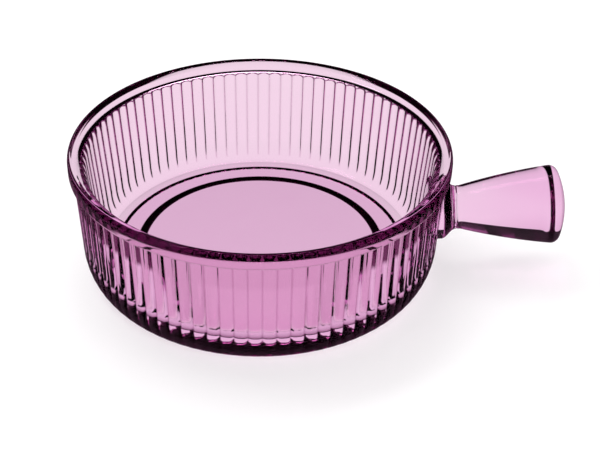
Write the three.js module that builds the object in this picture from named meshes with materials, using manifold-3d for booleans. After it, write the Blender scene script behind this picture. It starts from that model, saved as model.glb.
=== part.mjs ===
// A round pressed-glass casserole dish with a reeded wall, a smooth rim band and one solid stub handle.
// Units are millimetres and +Z is up. The handle points along +X.

import * as THREE from 'three';
import { mergeVertices } from 'three/addons/utils/BufferGeometryUtils.js';
import Module from 'manifold-3d';

// The dish as a whole
const RIM_DIAMETER = 180;
const HEIGHT = 62.2;

// The rim: a smooth band that overhangs the reeds by a rounded ledge, a top that slopes inwards, and a
// steeper bevel that leads down to the mouth
const BAND_DEPTH = 7.8;
const LEDGE_OVERHANG = 2.2;
const LEDGE_ROUNDING = 1.75;
const TOP_WIDTH = 3.6;
const TOP_TILT_DEGREES = 16.6;
const TOP_ROUNDING = 1.65;
const BEVEL_DEGREES = 36;
const MOUTH_INSET = 7.95;
const MOUTH_ROUNDING = 8.8;

// The wall: convex reeds outside, smooth inside, thickest at the heel
const REED_COUNT = 88;
const REED_DEPTH = 0.8;
const REED_FADE_HEIGHT = 12;
const OUTER_DRAFT_DEGREES = 2.4;
const HEEL_WALL_THICKNESS = 7.9;

// The base: a rounded heel, and an underside that rises from the foot ring in two steps
const HEEL_HEIGHT = 15.4;
const HEEL_WIDTH = 7.75;
const FLOOR_HEIGHT = 7.75;
const COVE_RADIUS = 10.6;
const FOOT_RING_WIDTH = 6.315;
const OUTER_STEP_WIDTH = 2.55;
const OUTER_STEP_HEIGHT = 1.55;
const DIP_WIDTH = 8.35;
const DIP_HEIGHT = 1;
const INNER_STEP_WIDTH = 4.45;
const RECESS_HEIGHT = 4.5;
const STEP_ROUNDING = 2.4;

// The boss on the wall, and the handle that is fused to its end at the neck
const HANDLE_HEIGHT = 29.5;
const HANDLE_TILT_DEGREES = 4.6;
const BOSS_LENGTH = 7.6;
const BOSS_RADIUS = 15;
const NECK_RADIUS = 10.45;
const COLLAR_LENGTH = 1.5;
const HANDLE_LENGTH = 50.7;
const HANDLE_RADIUS = 18.6;
const HANDLE_SWELL = 0.8;
const HANDLE_END_RADIUS = 4.2;
const HANDLE_DOME_DEGREES = 22;
const SEAM_GAP = 0.3;

// How finely the round surfaces are cut
const COLUMNS_PER_REED = 4;
const HEEL_STEPS = 5;
const COVE_STEPS = 5;
const RIM_STEPS = 3;
const STEP_STEPS = 2;
const BOSS_STEPS = 6;
const SWELL_STEPS = 6;
const END_STEPS = 5;
const DOME_STEPS = 4;
const HANDLE_SEGMENTS = 48;

// How far a shape that cuts or joins runs past the surface that it crosses
const OVERRUN = 2;

// The glass
const GLASS_COLOUR = 0xd79cc6;
const GLASS_ROUGHNESS = 0.05;

const GROUND = 0;
const QUARTER_TURN = Math.PI / 2;

const rimRadius = RIM_DIAMETER / 2;
const ledgeHeight = HEIGHT - BAND_DEPTH;
const mouthRadius = rimRadius - MOUTH_INSET;
const topTilt = THREE.MathUtils.degToRad(TOP_TILT_DEGREES);
const bevel = THREE.MathUtils.degToRad(BEVEL_DEGREES);
const outerDraft = THREE.MathUtils.degToRad(OUTER_DRAFT_DEGREES);
const handleTilt = THREE.MathUtils.degToRad(HANDLE_TILT_DEGREES);
const handleDome = THREE.MathUtils.degToRad(HANDLE_DOME_DEGREES);

// The radius of the reeds' crests at a height on the wall
function crestRadius(height) {
  return rimRadius - LEDGE_OVERHANG - (ledgeHeight - height) * Math.tan(outerDraft);
}

const heelRadius = crestRadius(HEEL_HEIGHT);
const footRadius = heelRadius - HEEL_WIDTH;

const wasm = await Module();
wasm.setup();

function point(radius, height) {
  return new THREE.Vector2(radius, height);
}

// Points of an elliptical arc in a profile plane, from one angle to another
function arc(centre, width, height, from, to, steps) {
  const points = [];
  for (let i = 0; i <= steps; i += 1) {
    const angle = THREE.MathUtils.lerp(from, to, i / steps);
    points.push(point(centre.x + width * Math.cos(angle), centre.y + height * Math.sin(angle)));
  }
  return points;
}

// Points of the arc that turns a profile's corner and touches the runs on both sides of it
function turnedCorner(before, corner, after, radius, steps) {
  const back = before.clone().sub(corner).normalize();
  const onward = after.clone().sub(corner).normalize();
  const inward = back.clone().add(onward).normalize();
  const along = onward.clone().sub(back).normalize();
  const half = back.angleTo(onward) / 2;
  const points = [];
  for (let i = 0; i <= steps; i += 1) {
    const sweep = (QUARTER_TURN - half) * (2 * (i / steps) - 1);
    const deep = radius * (1 / Math.sin(half) - Math.cos(sweep));
    const aside = radius * Math.sin(sweep);
    points.push(corner.clone().addScaledVector(inward, deep).addScaledVector(along, aside));
  }
  return points;
}

// A closed solid turned about +Z from a profile of radius and height
function turned(profile, segments) {
  return new THREE.LatheGeometry(profile, segments).rotateX(QUARTER_TURN);
}

// A turned solid laid along the handle's axis, with its heights measured outwards from the wall
function alongHandle(profile) {
  const geometry = new THREE.LatheGeometry(profile, HANDLE_SEGMENTS);
  geometry.rotateZ(-QUARTER_TURN);
  geometry.rotateY(-handleTilt);
  return geometry.translate(crestRadius(HANDLE_HEIGHT), 0, HANDLE_HEIGHT);
}

function solidOf(geometry) {
  const bare = geometry.clone();
  bare.deleteAttribute('normal');
  bare.deleteAttribute('uv');
  const merged = mergeVertices(bare);
  const mesh = new wasm.Mesh({
    numProp: 3,
    vertProperties: merged.attributes.position.array,
    triVerts: new Uint32Array(merged.index.array),
  });
  return new wasm.Manifold(mesh);
}

function geometryOf(solid) {
  const { vertProperties, triVerts } = solid.getMesh();
  const geometry = new THREE.BufferGeometry();
  geometry.setAttribute('position', new THREE.BufferAttribute(vertProperties, 3));
  geometry.setIndex(new THREE.BufferAttribute(triVerts, 1));
  geometry.computeVertexNormals();
  return geometry;
}

// The wall and heel: a solid barrel whose outside is pressed into convex reeds with a sharp groove between
// neighbours. The grooves deepen round the heel from nothing at the foot, and one lies over the handle.
function reededBarrel() {
  const heelCentre = point(footRadius, HEEL_HEIGHT);
  const profile = [
    point(0, GROUND),
    ...arc(heelCentre, HEEL_WIDTH, HEEL_HEIGHT, -QUARTER_TURN, 0, HEEL_STEPS),
    point(crestRadius(ledgeHeight + OVERRUN), ledgeHeight + OVERRUN),
    point(0, ledgeHeight + OVERRUN),
  ];
  const geometry = turned(profile, REED_COUNT * COLUMNS_PER_REED);
  const positions = geometry.attributes.position;
  const pitch = (2 * Math.PI) / REED_COUNT;
  for (let i = 0; i < positions.count; i += 1) {
    const place = new THREE.Vector3().fromBufferAttribute(positions, i);
    const radius = Math.hypot(place.x, place.y);
    if (radius < footRadius) continue;
    const turns = Math.atan2(place.y, place.x) / pitch;
    const fromCrest = turns - Math.floor(turns) - 0.5;
    const share = Math.sin(QUARTER_TURN * Math.min(1, place.z / REED_FADE_HEIGHT));
    const groove = REED_DEPTH * share * Math.abs(2 * fromCrest) ** 3;
    place.multiply(new THREE.Vector3(1 - groove / radius, 1 - groove / radius, 1));
    positions.setXYZ(i, place.x, place.y, place.z);
  }
  return solidOf(geometry);
}

// The smooth band and the sloped top of the rim, a ring that reaches into the top of the wall
function rim() {
  const rootRadius = mouthRadius - OVERRUN;
  const root = point(rootRadius, ledgeHeight);
  const bandFoot = point(rimRadius, ledgeHeight);
  const topOutside = point(rimRadius, HEIGHT);
  const topInside = point(rootRadius, HEIGHT - (rimRadius - rootRadius) * Math.tan(topTilt));
  return solidOf(turned([
    root,
    ...turnedCorner(root, bandFoot, topOutside, LEDGE_ROUNDING, RIM_STEPS),
    ...turnedCorner(bandFoot, topOutside, topInside, TOP_ROUNDING, RIM_STEPS),
    topInside,
    root,
  ], REED_COUNT));
}

// The hollow of the dish: a level floor, a cove, a smooth wall that opens towards the mouth, and the bevel
function hollow() {
  const heelInside = point(heelRadius - HEEL_WALL_THICKNESS, HEEL_HEIGHT);
  const bevelTop = point(rimRadius - TOP_WIDTH, HEIGHT - TOP_WIDTH * Math.tan(topTilt));
  const mouth = point(mouthRadius, bevelTop.y - (bevelTop.x - mouthRadius) * Math.tan(bevel));
  const opening = (mouth.x - heelInside.x) / (mouth.y - heelInside.y);
  const floorEdge = point(heelInside.x - (HEEL_HEIGHT - FLOOR_HEIGHT) * opening, FLOOR_HEIGHT);
  const floorMiddle = point(0, FLOOR_HEIGHT);
  const above = point(bevelTop.x + OVERRUN / Math.tan(bevel), bevelTop.y + OVERRUN);
  return solidOf(turned([
    floorMiddle,
    ...turnedCorner(floorMiddle, floorEdge, mouth, COVE_RADIUS, COVE_STEPS),
    ...turnedCorner(floorEdge, mouth, above, MOUTH_ROUNDING, RIM_STEPS),
    above,
    point(0, above.y),
  ], REED_COUNT));
}

// The recess of the underside: a step up from the foot ring, a ring that dips again, and a second step
function undersideRecess() {
  const slope = OUTER_STEP_WIDTH / OUTER_STEP_HEIGHT;
  const outerFoot = footRadius - FOOT_RING_WIDTH;
  const below = point(outerFoot + slope * OVERRUN, GROUND - OVERRUN);
  const outerTop = point(outerFoot - OUTER_STEP_WIDTH, OUTER_STEP_HEIGHT);
  const innerFoot = point(outerTop.x - DIP_WIDTH, DIP_HEIGHT);
  const innerTop = point(innerFoot.x - INNER_STEP_WIDTH, RECESS_HEIGHT);
  const middle = point(0, RECESS_HEIGHT);
  return solidOf(turned([
    point(0, below.y),
    below,
    ...turnedCorner(below, outerTop, innerFoot, STEP_ROUNDING, STEP_STEPS),
    ...turnedCorner(outerTop, innerFoot, innerTop, STEP_ROUNDING, STEP_STEPS),
    ...turnedCorner(innerFoot, innerTop, middle, STEP_ROUNDING, STEP_STEPS),
    middle,
  ], REED_COUNT));
}

// The boss: a round flare, rooted right through the wall, that narrows to the neck along half a cosine wave
function boss() {
  const neckEnd = BOSS_LENGTH - SEAM_GAP;
  const root = -HEEL_WALL_THICKNESS - OVERRUN;
  const profile = [point(0, root), point(BOSS_RADIUS, root)];
  for (let i = 0; i <= BOSS_STEPS; i += 1) {
    const share = i / BOSS_STEPS;
    const wave = (1 + Math.cos(Math.PI * share)) / 2;
    profile.push(point(THREE.MathUtils.lerp(NECK_RADIUS, BOSS_RADIUS, wave), neckEnd * share));
  }
  profile.push(point(0, neckEnd));
  return solidOf(alongHandle(profile));
}

// The handle: a solid stub with a short straight collar at the neck. It widens with a slight swell, then
// rounds over into a round dome.
function handle() {
  const taperStart = BOSS_LENGTH + COLLAR_LENGTH;
  const shoulderRadius = HANDLE_RADIUS - HANDLE_END_RADIUS;
  const domeEdge = shoulderRadius + HANDLE_END_RADIUS * Math.sin(handleDome);
  const domeRadius = domeEdge / Math.sin(handleDome);
  const domeCentre = point(0, BOSS_LENGTH + HANDLE_LENGTH - domeRadius);
  const taperEnd = domeCentre.y + (domeRadius - HANDLE_END_RADIUS) * Math.cos(handleDome);
  const profile = [point(0, BOSS_LENGTH), point(NECK_RADIUS, BOSS_LENGTH)];
  for (let i = 0; i < SWELL_STEPS; i += 1) {
    const share = i / SWELL_STEPS;
    const swell = 4 * HANDLE_SWELL * share * (1 - share);
    const radius = THREE.MathUtils.lerp(NECK_RADIUS, HANDLE_RADIUS, share) + swell;
    profile.push(point(radius, THREE.MathUtils.lerp(taperStart, taperEnd, share)));
  }
  const shoulder = point(shoulderRadius, taperEnd);
  const domeStart = QUARTER_TURN - handleDome;
  profile.push(
    ...arc(shoulder, HANDLE_END_RADIUS, HANDLE_END_RADIUS, 0, domeStart, END_STEPS),
    ...arc(domeCentre, domeRadius, domeRadius, domeStart, QUARTER_TURN, DOME_STEPS).slice(1, -1),
    point(0, BOSS_LENGTH + HANDLE_LENGTH),
  );
  return alongHandle(profile);
}

function bowl() {
  const outside = reededBarrel().add(rim()).add(boss());
  return geometryOf(outside.subtract(hollow()).subtract(undersideRecess()));
}

function glass() {
  return new THREE.MeshStandardMaterial({ color: GLASS_COLOUR, roughness: GLASS_ROUGHNESS, metalness: 0 });
}

const dish = new THREE.Group();
const bowlMesh = new THREE.Mesh(bowl(), glass());
bowlMesh.name = 'bowl';
dish.add(bowlMesh);
const handleMesh = new THREE.Mesh(handle(), glass());
handleMesh.name = 'handle';
dish.add(handleMesh);

// The origin is on the ground, under the middle of the whole dish
const box = new THREE.Box3().setFromObject(dish, true);
const middle = box.getCenter(new THREE.Vector3());
dish.position.set(-middle.x, -middle.y, -box.min.z);

export default dish;
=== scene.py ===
from math import cos, pi, radians, sin, tan

import bpy
import numpy as np
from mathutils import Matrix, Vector


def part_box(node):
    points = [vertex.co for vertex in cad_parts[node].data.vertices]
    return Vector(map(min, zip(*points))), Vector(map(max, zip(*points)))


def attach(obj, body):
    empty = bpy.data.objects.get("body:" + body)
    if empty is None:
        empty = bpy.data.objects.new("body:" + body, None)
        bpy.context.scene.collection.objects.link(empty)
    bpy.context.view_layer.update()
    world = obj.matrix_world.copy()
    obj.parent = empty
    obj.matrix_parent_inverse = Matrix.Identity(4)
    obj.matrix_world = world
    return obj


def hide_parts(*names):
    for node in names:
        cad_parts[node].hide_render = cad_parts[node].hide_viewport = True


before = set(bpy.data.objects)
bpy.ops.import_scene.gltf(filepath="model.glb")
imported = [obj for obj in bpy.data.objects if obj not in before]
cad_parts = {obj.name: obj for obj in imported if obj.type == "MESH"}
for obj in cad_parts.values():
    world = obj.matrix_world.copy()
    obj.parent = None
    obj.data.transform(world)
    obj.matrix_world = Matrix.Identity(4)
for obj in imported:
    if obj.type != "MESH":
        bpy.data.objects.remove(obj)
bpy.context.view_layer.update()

# The bowl is one pressing of purple glass: a barrel with convex reeds outside and a plain wall
# inside, a rounded heel, a stepped underside, and a smooth band with a sloped top round the rim.
# The flared boss that carries the handle is pressed with it, so it is joined to the wall here.
MM = 0.001
bowl_low, bowl_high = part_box("bowl")
RIM_RADIUS = (bowl_high.y - bowl_low.y) / 2
AXIS_X = bowl_low.x + RIM_RADIUS
HEIGHT = 62.2 * MM
BAND_DEPTH = 7.8 * MM
LEDGE_OVERHANG = 2.2 * MM
LEDGE_ROUNDING = 1.75 * MM
TOP_ROUNDING = 1.65 * MM
TOP_WIDTH = 3.6 * MM
TOP_TILT = radians(16.6)
LIP_ROUNDING = 1.1 * MM
BEVEL_ANGLE = radians(36)
MOUTH_RADIUS = RIM_RADIUS - 7.95 * MM
MOUTH_ROUNDING = 8.8 * MM
REED_COUNT = 88
REED_DEPTH = 0.8 * MM
REED_END = 1.8 * MM
REED_END_STEPS = 10
REED_EDGE = 0.4
LEAST_ARCH = 0.001
REED_FADE = 12.0 * MM
COLUMNS_PER_REED = 10
OUTER_DRAFT = radians(2.4)
HEEL_HEIGHT = 15.4 * MM
HEEL_WIDTH = 7.75 * MM
HEEL_STEPS = 18
HEEL_WALL = 7.9 * MM
FLOOR_Z = 7.75 * MM
COVE_ROUNDING = 10.6 * MM
OUTER_STEP_FOOT = 72.1 * MM
OUTER_STEP_TOP = 69.55 * MM
OUTER_STEP_Z = 1.55 * MM
OUTER_STEP_ROUNDING = 2.4 * MM
INNER_STEP_FOOT = 61.2 * MM
INNER_STEP_TOP = 56.75 * MM
INNER_STEP_Z = 1.0 * MM
INNER_STEP_ROUNDING = 3.4 * MM
RECESS_Z = 4.5 * MM
POLE_RADIUS = 4.0 * MM

LEDGE_Z = HEIGHT - BAND_DEPTH
CREST_RADIUS = RIM_RADIUS - LEDGE_OVERHANG
TOP_INNER_RADIUS = RIM_RADIUS - TOP_WIDTH
TOP_INNER_Z = HEIGHT - TOP_WIDTH * tan(TOP_TILT)
MOUTH_Z = TOP_INNER_Z - (TOP_INNER_RADIUS - MOUTH_RADIUS) * tan(BEVEL_ANGLE)


def crest_radius(height):
    """Radius of the reeds' crests at a height, on a cone that widens with the outer draft."""
    return CREST_RADIUS - (LEDGE_Z - height) * tan(OUTER_DRAFT)


def inside_radius(height):
    """Radius of the plain inside, on the cone through the mouth and the inside of the heel."""
    heel_inside = crest_radius(HEEL_HEIGHT) - HEEL_WALL
    opening = (MOUTH_RADIUS - heel_inside) / (MOUTH_Z - HEEL_HEIGHT)
    return MOUTH_RADIUS - (MOUTH_Z - height) * opening


def rounded(corners):
    """Points (r, z) along straight runs whose corners are turned by arcs. A corner is r, z, the radius
    of the arc that touches both of its runs, and the number of points on it. The first and the last
    corner are ends."""
    place = np.array([corner[:2] for corner in corners])
    points = [place[:1]]
    for before, corner, after, (_, _, radius, steps) in zip(place, place[1:], place[2:], corners[1:]):
        back = (before - corner) / np.linalg.norm(before - corner)
        onward = (after - corner) / np.linalg.norm(after - corner)
        inward = (back + onward) / np.linalg.norm(back + onward)
        along = (onward - back) / np.linalg.norm(onward - back)
        half = np.arccos(back @ onward) / 2
        sweep = np.linspace(half - pi / 2, pi / 2 - half, steps)[:, None]
        shade_and_ripple = radius * (1 / sin(half) - np.cos(sweep))
        aside = radius * np.sin(sweep)
        points.append(corner + inward * shade_and_ripple + along * aside)
    return np.concatenate(points + [place[-1:]])


def bowl_profile():
    """The bowl's section as rows (r, z): the stepped underside from the middle out, heel, wall, ledge,
    band, top, mouth and back down the plain inside to the floor's middle. The heel is a quarter of an
    ellipse. The second array is 1 where reeds are."""
    under = rounded([
        (POLE_RADIUS, RECESS_Z),
        (INNER_STEP_TOP, RECESS_Z, INNER_STEP_ROUNDING, 7),
        (INNER_STEP_FOOT, INNER_STEP_Z, INNER_STEP_ROUNDING, 8),
        (OUTER_STEP_TOP, OUTER_STEP_Z, OUTER_STEP_ROUNDING, 6),
        (OUTER_STEP_FOOT, 0, OUTER_STEP_ROUNDING, 6),
        (crest_radius(0), 0),
    ])[:-1]
    heel_turn = np.linspace(-pi / 2, 0, HEEL_STEPS)
    heel_radius = crest_radius(HEEL_HEIGHT) - HEEL_WIDTH * (1 - np.cos(heel_turn))
    heel = np.stack([heel_radius, HEEL_HEIGHT * (1 + np.sin(heel_turn))], axis=1)
    reed_end_z = LEDGE_Z - REED_END * np.linspace(1, 0, REED_END_STEPS)
    reed_end = np.stack([crest_radius(reed_end_z), reed_end_z], axis=1)
    over = rounded([
        (CREST_RADIUS, LEDGE_Z),
        (RIM_RADIUS, LEDGE_Z, LEDGE_ROUNDING, 8),
        (RIM_RADIUS, HEIGHT, TOP_ROUNDING, 9),
        (TOP_INNER_RADIUS, TOP_INNER_Z, LIP_ROUNDING, 8),
        (MOUTH_RADIUS, MOUTH_Z, MOUTH_ROUNDING, 10),
        (inside_radius(FLOOR_Z), FLOOR_Z, COVE_ROUNDING, 15),
        (POLE_RADIUS, FLOOR_Z),
    ])[1:]
    parts = under, heel, reed_end, over
    has_reeds = np.repeat((0, 1, 1, 0), [len(part) for part in parts])
    return np.concatenate(parts), has_reeds


def bowl_rings():
    """The section turned about the dish's axis. A reed's crest lies on the section, and the surface falls
    away from it by the cube of the distance to the crest. The fall dies out round the heel as a sine.
    Under the ledge each reed ends in an arch, where a smooth step takes the crest down to the grooves."""
    profile, has_reeds = bowl_profile()
    around = np.arange(REED_COUNT * COLUMNS_PER_REED) / COLUMNS_PER_REED
    fall = (np.abs(around % 1 - 0.5) * 2) ** 3
    radius, height = profile[:, :1], profile[:, 1:]
    from_end = np.maximum(0, 1 - (LEDGE_Z - height) / REED_END)
    in_arch = from_end / np.sqrt(np.maximum(1 - fall, LEAST_ARCH))
    edge = np.clip((in_arch - 1) / REED_EDGE + 1, 0, 1)
    fall = fall + (1 - fall) * edge**2 * (3 - 2 * edge)
    fade = np.sin(pi / 2 * np.clip(height / REED_FADE, 0, 1)) * has_reeds[:, None]
    radius = radius - REED_DEPTH * fade * fall
    turn = around * 2 * pi / REED_COUNT
    x = AXIS_X + radius * np.cos(turn)
    y = radius * np.sin(turn)
    return np.stack([x, y, np.broadcast_to(height, radius.shape)], axis=-1)


def closed_skin(name, rings):
    """A closed mesh over an array of rings: each ring shuts on itself, quads join neighbouring rings,
    and a fan to its middle shuts the first and the last ring. The first ring's fan faces backwards."""
    count, around = rings.shape[:2]
    points = np.concatenate([rings.reshape(-1, 3), rings[[0, -1]].mean(axis=1)])
    here = np.arange(around)
    following = np.roll(here, -1)
    ring = np.arange(count - 1)[:, None] * around
    above = ring + around
    quads = np.stack([ring + here, ring + following, above + following, above + here], axis=-1)
    last_ring = (count - 1) * around
    first_middle = np.full(around, count * around)
    first_fan = np.stack([first_middle, following, here], axis=-1)
    last_fan = np.stack([first_middle + 1, last_ring + here, last_ring + following], axis=-1)
    faces = first_fan.tolist() + quads.reshape(-1, 4).tolist() + last_fan.tolist()
    mesh = bpy.data.meshes.new(name)
    mesh.from_pydata(points.tolist(), [], faces)
    piece = bpy.data.objects.new(name, mesh)
    bpy.context.scene.collection.objects.link(piece)
    return piece


SHARP_CREASE = radians(30)


def smooth_glass(piece):
    """Shades a piece smooth, with creases only where its faces meet at more than the sharp angle."""
    piece.data.shade_smooth()
    piece.data.set_sharp_from_angle(angle=SHARP_CREASE)


HANDLE_Z = 29.5 * MM
HANDLE_TILT = radians(4.6)
BOSS_RADIUS = 15.0 * MM
BOSS_LENGTH = 7.6 * MM
NECK_RADIUS = 10.45 * MM
SEAM_GAP = 0.3 * MM
EDGE_ROUNDING = 0.3 * MM
EDGE_STEPS = 6
FLARE_STEPS = 24
ROOT_STEPS = 5
ROOT_HOLE = 0.2
ROOT_TRIES = 4
HANDLE_COLUMNS = 128
handle_start = crest_radius(HANDLE_Z)


def along_handle(along, radius):
    """Rings about the handle's tilted axis, from the distance along it from the wall and the radius."""
    turn = np.arange(HANDLE_COLUMNS) * 2 * pi / HANDLE_COLUMNS
    along, radius = np.broadcast_arrays(along, radius + 0 * turn)
    sideways = radius * np.cos(turn)
    upright = radius * np.sin(turn)
    x = AXIS_X + handle_start + along * cos(HANDLE_TILT) - upright * sin(HANDLE_TILT)
    z = HANDLE_Z + along * sin(HANDLE_TILT) + upright * cos(HANDLE_TILT)
    return np.stack([x, sideways, z], axis=-1)


def wall_middle(height):
    """Radius half way between the plain inside of the wall and the bottom of the grooves."""
    return (inside_radius(height) + crest_radius(height) - REED_DEPTH) / 2


def boss_rings():
    """The boss as rings about the handle's axis. Its root lies on the middle of the wall, found by
    carrying each point along the axis until its distance from the dish's axis fits. The flare is half
    a cosine wave, and its end has a rounded edge."""
    root_radius = np.linspace(ROOT_HOLE, 1, ROOT_STEPS)[:, None] * BOSS_RADIUS
    root_along = np.zeros((len(root_radius), HANDLE_COLUMNS))
    for _ in range(ROOT_TRIES):
        x, y, z = np.moveaxis(along_handle(root_along, root_radius), -1, 0)
        root_along = root_along + np.sqrt(wall_middle(z) ** 2 - y**2) - (x - AXIS_X)
    face = BOSS_LENGTH - SEAM_GAP
    share = np.linspace(0, 1, FLARE_STEPS)[:, None]
    flare = NECK_RADIUS + (BOSS_RADIUS - NECK_RADIUS) * (1 + np.cos(pi * share)) / 2
    edge = np.linspace(0, pi / 2, EDGE_STEPS)[1:, None]
    edge_along = face - EDGE_ROUNDING * (1 - np.sin(edge))
    edge_radius = NECK_RADIUS - EDGE_ROUNDING * (1 - np.cos(edge))
    return np.concatenate([
        along_handle(root_along, root_radius),
        along_handle(share * (face - EDGE_ROUNDING), flare),
        along_handle(edge_along, edge_radius),
    ])


bowl = closed_skin("glass_bowl", bowl_rings())
boss = closed_skin("boss", boss_rings())
joined = bowl.modifiers.new("boss", "BOOLEAN")
joined.object = boss
joined.operation = "UNION"
joined.solver = "MANIFOLD"
whole = bpy.data.meshes.new_from_object(bowl.evaluated_get(bpy.context.evaluated_depsgraph_get()))
bowl.modifiers.clear()
bowl.data = whole
bpy.data.objects.remove(boss)
smooth_glass(bowl)


class Socket:
    """One output of a material's nodes. Sums, differences and products with numbers or other outputs
    add Math nodes, and node() adds any other node."""

    def __init__(self, tree, output=None):
        self.tree = tree
        self.output = output

    def node(self, kind, settings=None, values=None, out=0):
        """Adds a node, sets its settings first, then its sockets from numbers, colours or outputs."""
        made = self.tree.nodes.new(kind)
        for key, setting in (settings or {}).items():
            setattr(made, key, setting)
        for key, value in (values or {}).items():
            if isinstance(value, Socket):
                self.tree.links.new(value.output, made.inputs[key])
            else:
                made.inputs[key].default_value = value
        return Socket(self.tree, made.outputs[out] if made.outputs else None)

    def math(self, operation, first, second):
        """Adds a Math node that joins two numbers or outputs."""
        return self.node("ShaderNodeMath", {"operation": operation}, {0: first, 1: second})

    def __add__(self, other):
        return self.math("ADD", self, other)

    __radd__ = __add__

    def __sub__(self, other):
        return self.math("SUBTRACT", self, other)

    def __rsub__(self, other):
        return self.math("SUBTRACT", other, self)

    def __mul__(self, other):
        return self.math("MULTIPLY", self, other)

    __rmul__ = __mul__


def new_material(name):
    """A material with an empty node tree, and a Socket that adds nodes to it."""
    material = bpy.data.materials.new(name)
    material.use_nodes = True
    material.node_tree.nodes.clear()
    return material, Socket(material.node_tree)


def ramp(value, low, high):
    """A smooth step of an output from 0 at low to 1 at high."""
    return value.node("ShaderNodeMapRange", {"interpolation_type": "SMOOTHSTEP"}, {
        "Value": value, "From Min": low, "From Max": high, "To Min": 0.0, "To Max": 1.0})


def mixed(share, first, second):
    """Two shaders mixed: a share of 0 is the first, 1 the second."""
    return first.node("ShaderNodeMixShader", values={0: share, 1: first, 2: second})


def axes_of(place):
    """The three coordinates of a place."""
    return [place.node("ShaderNodeSeparateXYZ", values={0: place}, out=axis) for axis in "XYZ"]


def round_axis(place):
    """Distance from the dish's axis, closeness to a groove from 0 on a reed's crest to 1, and height."""
    x, y, z = axes_of(place)
    x = x - AXIS_X
    out = x.math("POWER", x * x + y * y, 0.5)
    turn = (REED_COUNT / (2 * pi)) * x.math("ARCTAN2", y, x)
    to_groove = 1 - 2 * x.math("PINGPONG", turn, 0.5)
    return out, to_groove, z


SEAM_REACH = (0.16 * MM, 0.18 * MM)
SEAM_EDGE = (NECK_RADIUS - 0.4 * MM, NECK_RADIUS - 0.2 * MM)


def seam_share(place):
    """One on the two faces that are fused at the neck, where light passes as if there were no skin."""
    x, y, z = axes_of(place)
    x = x - (AXIS_X + handle_start)
    z = z - HANDLE_Z
    along = x * cos(HANDLE_TILT) + z * sin(HANDLE_TILT)
    upright = z * cos(HANDLE_TILT) - x * sin(HANDLE_TILT)
    out = x.math("POWER", y * y + upright * upright, 0.5)
    off_seam = x.math("ABSOLUTE", along - (BOSS_LENGTH - SEAM_GAP / 2), 0.0)
    return (1 - ramp(off_seam, *SEAM_REACH)) * (1 - ramp(out, *SEAM_EDGE))


GLASS_IOR = 1.5
THIN_TINT = (0.985, 0.880, 0.942, 1)
# Painted shade: the deep tint stands in for coloured shadow, and the line tint for shade along the grooves
# and under the handle.
SHADE_AND_RIPPLE_TINT = (0.840, 0.570, 0.770, 1)
SHADE_LINE_TINT = (0.780, 0.600, 0.720, 1)
SHEEN_COLOUR = (0.15, 0.07, 0.12, 1)
# Painted shade: the dark mirror blackens light turned back inside the glass wherever the clear share is low.
SHADE_MIRROR_COLOUR = (0.16, 0.05, 0.12, 1)
CLEAR_MIRROR_COLOUR = (0.86, 0.70, 0.83, 1)
BODY_COLOUR = (0.98, 0.10, 0.85, 1)
NO_TINT = (1, 1, 1, 1)
RIPPLE_SCALE = 70.0
RIPPLE_STRENGTH = 0.05
RIPPLE_DEPTH = 1.0 * MM
RIPPLE_TINT = 0.05
SMEAR_SCALE = 240.0
SMEAR_ROUGHNESS = 0.012


def purple_glass(name, depth, shade_share, shade_line_share, unshaded_share):
    """Clear purple glass as a refraction and a mirror weighted by Fresnel. Shares of the place on the object
    say where painted shade deepens the skin's tint, where painted shade lines darken it, and where light
    turned back inside stays clear instead of meeting a mirror painted dark as shade. A fine ripple from the
    mould bends the skin and mottles its tint a little, and a finer smear dulls it."""
    material, tree = new_material(name)
    place = tree.node("ShaderNodeTexCoord", out="Object")
    ripple = tree.node("ShaderNodeTexNoise", values={"Vector": place, "Scale": RIPPLE_SCALE, "Detail": 1.0})
    smear = tree.node("ShaderNodeTexNoise", values={"Vector": place, "Scale": SMEAR_SCALE, "Detail": 3.0})
    bump = tree.node("ShaderNodeBump", values={
        "Height": ripple, "Strength": RIPPLE_STRENGTH, "Distance": RIPPLE_DEPTH})
    polish = {"Roughness": SMEAR_ROUGHNESS * smear, "Normal": bump}
    thin, shade_and_ripple, shade_lines = [
        tree.node("ShaderNodeBsdfRefraction", values={"Color": tint, "IOR": GLASS_IOR, **polish})
        for tint in (THIN_TINT, SHADE_AND_RIPPLE_TINT, SHADE_LINE_TINT)]
    through = mixed(shade_share(place) + RIPPLE_TINT * ripple, thin, shade_and_ripple)
    through = mixed(shade_line_share(place), through, shade_lines)
    sheen, shade_mirror, clear = [
        tree.node("ShaderNodeBsdfAnisotropic", values={"Color": colour, **polish})
        for colour in (SHEEN_COLOUR, SHADE_MIRROR_COLOUR, CLEAR_MIRROR_COLOUR)]
    inside = tree.node("ShaderNodeNewGeometry", out="Backfacing")
    mirror = mixed(inside, sheen, mixed(unshaded_share(place), shade_mirror, clear))
    angle = tree.node("ShaderNodeFresnel", values={"IOR": GLASS_IOR, "Normal": bump})
    fused = tree.node("ShaderNodeBsdfTransparent", values={"Color": NO_TINT})
    surface = mixed(seam_share(place), mixed(angle, through, mirror), fused)
    body = tree.node("ShaderNodeVolumeAbsorption", values={"Color": BODY_COLOUR, "Density": depth})
    tree.node("ShaderNodeOutputMaterial", values={"Surface": surface, "Volume": body})
    return material


BOWL_DEPTH = 10.0
# Painted shadow: the base share tints the base as the coloured shadow that the dish casts on the table under
# it.
BASE_SHADOW = 0.5
BASE_SHADOW_EDGE = (68 * MM, 74 * MM)
# Painted shade: the groove share darkens the bottoms of the grooves.
GROOVE_SHADE = 0.7
GROOVE_EDGE = (0.75, 1.0)
GROOVE_WALL = (83 * MM, 84 * MM)
GROOVE_TOP = (LEDGE_Z - 2 * MM, LEDGE_Z)
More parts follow.
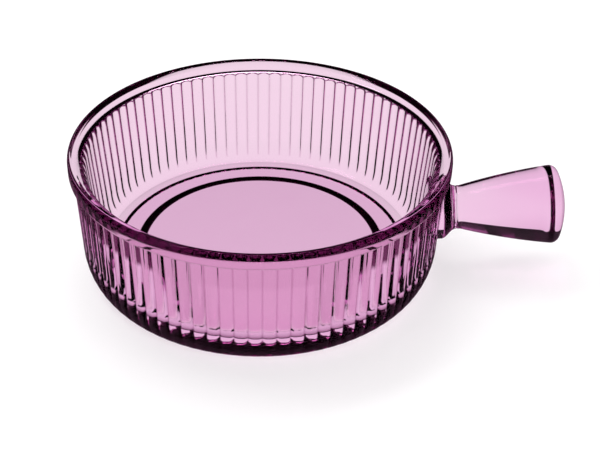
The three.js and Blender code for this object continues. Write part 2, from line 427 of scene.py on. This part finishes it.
# Painted shade: outside these clear zones, in the heel, the band and up the inside of the rim, the inner
# mirror is painted dark.
CLEAR_FOOT = (7 * MM, 16 * MM)
CLEAR_TOP = (38 * MM, 42 * MM)
CLEAR_WALL = (83.5 * MM, 84.5 * MM)
CLEAR_BAND = (LEDGE_Z, LEDGE_Z + 1 * MM)


def base_shadow_share(place):
    """Half over the base, as painted shade for the coloured shadow that the dish casts on the table under
    it, and nothing where the wall's cove begins.
    """
    out, _, _ = round_axis(place)
    return BASE_SHADOW * (1 - ramp(out, *BASE_SHADOW_EDGE))


def groove_shade_share(place):
    """Painted shade, most along the bottom of the grooves outside the wall, nothing on a reed or inside the
    dish.
    """
    out, to_groove, up = round_axis(place)
    outside = ramp(out, *GROOVE_WALL) * (1 - ramp(up, *GROOVE_TOP))
    return GROOVE_SHADE * outside * ramp(to_groove, *GROOVE_EDGE)


def wall_unshaded_share(place):
    """One over the wall and the ledge, falling to nothing in the heel, in the band and up the inside of the
    rim, where light turned back inside the glass meets a mirror painted dark as shade."""
    out, _, up = round_axis(place)
    inside_rim = ramp(up, *CLEAR_TOP) * (1 - ramp(out, *CLEAR_WALL))
    return ramp(up, *CLEAR_FOOT) * (1 - inside_rim) * (1 - ramp(up, *CLEAR_BAND))


bowl_glass = purple_glass("bowl_purple_glass", BOWL_DEPTH, base_shadow_share, groove_shade_share, wall_unshaded_share)
bowl.data.materials.clear()
bowl.data.materials.append(bowl_glass)
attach(bowl, "root")
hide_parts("bowl")

# The handle is a solid stub of the same glass, pressed apart and fused to the boss: a short collar at
# the seam, a body that swells towards its free end, a rounded shoulder and a slightly domed end.
COLLAR_LENGTH = 1.5 * MM
HANDLE_LENGTH = 50.7 * MM
HANDLE_RADIUS = 18.6 * MM
HANDLE_SWELL = 0.8 * MM
END_RADIUS = 4.2 * MM
DOME_SLOPE = radians(22)
BODY_STEPS = 28
SHOULDER_STEPS = 16
DOME_STEPS = 20


def handle_rings():
    """The handle as rings about its axis: a rounded start edge, the collar, a straight flare with a
    parabola of swell added, a quarter round at the shoulder and a shallow dome over the end."""
    dome_edge = HANDLE_RADIUS - END_RADIUS * (1 - sin(DOME_SLOPE))
    dome_radius = dome_edge / sin(DOME_SLOPE)
    end_at = BOSS_LENGTH + HANDLE_LENGTH
    shoulder_at = end_at - dome_radius * (1 - cos(DOME_SLOPE)) - END_RADIUS * cos(DOME_SLOPE)
    collar_at = BOSS_LENGTH + COLLAR_LENGTH
    edge = np.linspace(pi / 2, 0, EDGE_STEPS)[:, None]
    share = np.linspace(0, 1, BODY_STEPS)[:, None]
    swell = 4 * HANDLE_SWELL * share * (1 - share)
    turn = np.linspace(0, pi / 2 - DOME_SLOPE, SHOULDER_STEPS)[1:, None]
    dome = np.linspace(DOME_SLOPE, 0, DOME_STEPS)[1:-1, None]
    runs = [
        (BOSS_LENGTH + EDGE_ROUNDING * (1 - np.sin(edge)), NECK_RADIUS - EDGE_ROUNDING * (1 - np.cos(edge))),
        (collar_at + (shoulder_at - collar_at) * share,
         NECK_RADIUS + (HANDLE_RADIUS - NECK_RADIUS) * share + swell),
        (shoulder_at + END_RADIUS * np.sin(turn), HANDLE_RADIUS - END_RADIUS * (1 - np.cos(turn))),
        (end_at - dome_radius * (1 - np.cos(dome)), dome_radius * np.sin(dome)),
    ]
    return np.concatenate([along_handle(along, radius) for along, radius in runs])


HANDLE_DEPTH = 8.0
HANDLE_TINT = 0.05
# Painted shade: the top tint darkens the top of the handle.
TOP_SHADE = 0.25
TOP_EDGE = (HANDLE_Z + 12 * MM, HANDLE_Z + 20 * MM)
# Painted shade: the under tint darkens the underside of the handle.
UNDER_SHADE = 0.9
UNDER_EDGE = (HANDLE_Z - 11 * MM, HANDLE_Z - 7 * MM)
# Painted shade: four tenths of the handle's inner mirror is the dark one.
HANDLE_UNSHADED = 0.6


def tint_and_top_shade_share(place):
    """A little everywhere, with more along the top of the handle as painted shade."""
    _, _, up = axes_of(place)
    return HANDLE_TINT + TOP_SHADE * ramp(up, *TOP_EDGE)


def underside_shade_share(place):
    """Painted shade, most along the underside of the handle."""
    _, _, up = axes_of(place)
    return UNDER_SHADE - UNDER_SHADE * ramp(up, *UNDER_EDGE)


def handle_unshaded_share(place):
    """The same everywhere on the handle, so that four tenths of its inner mirror is painted dark as shade.
    """
    return HANDLE_UNSHADED


handle = closed_skin("glass_handle", handle_rings())
smooth_glass(handle)
handle_glass = purple_glass("handle_purple_glass", HANDLE_DEPTH, tint_and_top_shade_share, underside_shade_share, handle_unshaded_share)
handle.data.materials.append(handle_glass)
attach(handle, "root")
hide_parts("handle")

# The stage is a wide matt table of pale card, a hair below the foot so that the two share no plane.
# It glows in part towards the camera and through the glass, so it shows white and keeps the shadow.
TABLE_HALF = 3.0
TABLE_GAP = 0.2 * MM
TABLE_COLOUR = (0.93, 0.93, 0.93, 1)
TABLE_GLOW = 0.55
WHITE = (1, 1, 1, 1)


def table_top():
    """A flat sheet on a two by two grid, centred under the dish."""
    side = np.array([-TABLE_HALF, TABLE_HALF])
    x, y = np.meshgrid(side, side)
    points = np.stack([x, y, 0 * x - TABLE_GAP], axis=-1).reshape(-1, 3)
    mesh = bpy.data.meshes.new("table_top")
    mesh.from_pydata(points.tolist(), [], [[0, 1, 3, 2]])
    return bpy.data.objects.new("table_top", mesh)


table = table_top()
bpy.context.scene.collection.objects.link(table)
table_card, tree = new_material("pale_table")
seen = (tree.node("ShaderNodeLightPath", out="Is Camera Ray")
        + tree.node("ShaderNodeLightPath", out="Is Glossy Ray")
        + tree.node("ShaderNodeLightPath", out="Is Transmission Ray"))
matt = tree.node("ShaderNodeBsdfDiffuse", values={"Color": TABLE_COLOUR})
glow = tree.node("ShaderNodeEmission", values={"Color": WHITE, "Strength": 1.0})
tree.node("ShaderNodeOutputMaterial", values={"Surface": mixed(TABLE_GLOW * seen, matt, glow)})
table.data.materials.append(table_card)

# The light is a soft panel above and behind the dish, in a room that lights matt surfaces evenly, a
# little more from the back, and looks dark in the glass, which gives the glass its dark lines.
PANEL_PLACE = (AXIS_X - 0.3, 0.45, 1.25)
PANEL_AIM = (AXIS_X, 0, 0)
PANEL_WIDTH = 1.2
PANEL_HEIGHT = 0.3
PANEL_POWER = 11.0
ROOM_IN_GLASS = 0.02
ROOM_LIGHT = 0.93
ROOM_BACK_LIGHT = 0.55

panel = bpy.data.lights.new("overhead_panel", "AREA")
panel.shape = "RECTANGLE"
panel.size = PANEL_WIDTH
panel.size_y = PANEL_HEIGHT
panel.energy = PANEL_POWER
lamp = bpy.data.objects.new("overhead_panel", panel)
lamp.location = PANEL_PLACE
lamp.rotation_mode = "QUATERNION"
lamp.rotation_quaternion = Vector(np.subtract(PANEL_AIM, PANEL_PLACE)).to_track_quat("-Z", "Y")
bpy.context.scene.collection.objects.link(lamp)

room = bpy.data.worlds.new("dim_room")
bpy.context.scene.world = room
room.use_nodes = True
sky = room.node_tree.nodes["Background"]
sky.inputs["Color"].default_value = WHITE
tree = Socket(room.node_tree)
bounced = tree.node("ShaderNodeLightPath", out="Diffuse Depth")
toward = tree.node("ShaderNodeTexCoord", out="Generated")
_, from_back, _ = axes_of(toward)
on_matt = bounced.math("MINIMUM", bounced, 1.0)
strength = ROOM_IN_GLASS + on_matt * (ROOM_LIGHT + ROOM_BACK_LIGHT * from_back)
room.node_tree.links.new(strength.output, sky.inputs["Strength"])

# The camera looks down on the dish from the front, with the handle to the right. Its shift moves the
# dish left of the middle of the picture, to leave room for the handle.
TARGET_Z = 15.68 * MM
DISTANCE = 587.7 * MM
ELEVATION = radians(34.63)
AZIMUTH = radians(3.4)
LENS = 71.84
SENSOR_WIDTH = 36.0
SHIFT_X = 0.0667
LIGHT_BOUNCES = 32
MIRROR_BOUNCES = 16

camera = bpy.data.objects.new("camera", bpy.data.cameras.new("camera"))
camera.data.lens = LENS
camera.data.sensor_width = SENSOR_WIDTH
camera.data.shift_x = SHIFT_X
back = np.array([sin(AZIMUTH) * cos(ELEVATION), -cos(AZIMUTH) * cos(ELEVATION), sin(ELEVATION)])
camera.location = np.array([AXIS_X, 0, TARGET_Z]) + DISTANCE * back
camera.rotation_mode = "QUATERNION"
camera.rotation_quaternion = Vector(-back).to_track_quat("-Z", "Y")
bpy.context.scene.collection.objects.link(camera)
bpy.context.scene.camera = camera
bpy.context.scene.view_settings.view_transform = "Standard"
bpy.context.scene.cycles.max_bounces = LIGHT_BOUNCES
bpy.context.scene.cycles.transmission_bounces = LIGHT_BOUNCES
bpy.context.scene.cycles.glossy_bounces = MIRROR_BOUNCES
